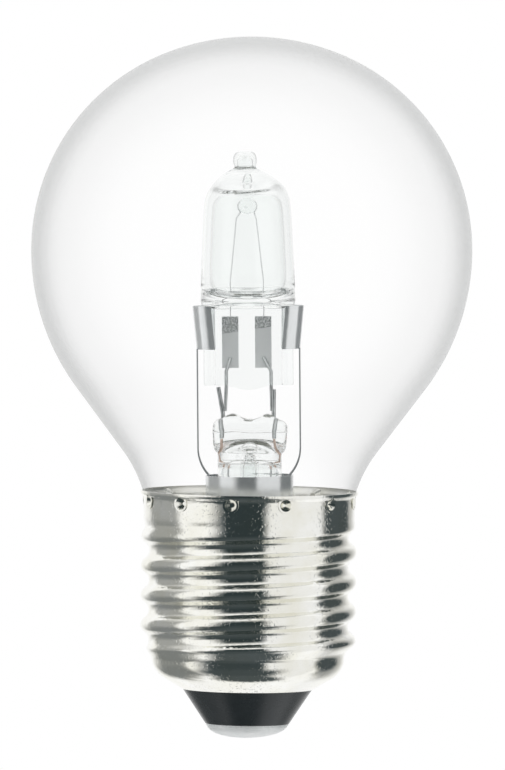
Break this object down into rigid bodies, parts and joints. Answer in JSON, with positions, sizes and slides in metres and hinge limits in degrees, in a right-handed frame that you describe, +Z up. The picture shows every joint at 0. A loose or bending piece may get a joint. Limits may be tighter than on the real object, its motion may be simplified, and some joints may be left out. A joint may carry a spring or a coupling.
{
  "type": "halogen bulb",
  "caption": "Clear round halogen bulb with an inner quartz capsule on a glass stem and a screw cap with a centre contact.",
  "frame": {"origin": "on the lamp axis at the tip of the centre contact, the lowest point", "axes": "+Z up the lamp axis from the contact to the crown of the globe; -Y towards the pictured front, where the capsule's flat pinch is seen broad"},
  "size_m": [0.0536, 0.0536, 0.0852],
  "materials": {
    "globe_glass": "clear blown glass",
    "stem_glass": "clear drawn glass, melted at the press",
    "quartz_glass": "clear fused quartz",
    "frame_steel": "bright rolled strip",
    "coil_tungsten": "drawn wire, dull grey",
    "seal_foil": "thin rolled foil, darkened at its upper end",
    "lead_wire": "drawn nickel-plated wire",
    "sealing_wire": "copper-clad wire, reddish under the glass",
    "cap_nickel": "bright nickel plate on rolled sheet",
    "black_glass": "glossy black glass",
    "contact_metal": "stamped sheet",
    "solder": "soft solder, satin and finely pitted"
  },
  "bodies": {
    "root": {"outer_bulb": "globe_glass", "stem_flare": "stem_glass", "exhaust_tube": "stem_glass", "support_ring": "frame_steel", "support_arm_left": "frame_steel", "support_arm_right": "frame_steel", "capsule": "quartz_glass", "filament": "coil_tungsten", "inner_lead_left": "coil_tungsten", "inner_lead_right": "coil_tungsten", "foil_left": "seal_foil", "foil_right": "seal_foil", "capsule_lead_left": "lead_wire", "capsule_lead_right": "lead_wire", "stem_lead_left": "lead_wire", "stem_lead_right": "lead_wire", "sealing_wire_left": "sealing_wire", "sealing_wire_right": "sealing_wire", "centre_lead_upper": "lead_wire", "fuse_wire": "lead_wire", "centre_lead_lower": "lead_wire", "side_lead": "lead_wire", "cap_shell": "cap_nickel", "insulator": "black_glass", "contact_plate": "contact_metal", "contact_solder": "solder", "side_solder": "solder"}
  },
  "joints": []
}
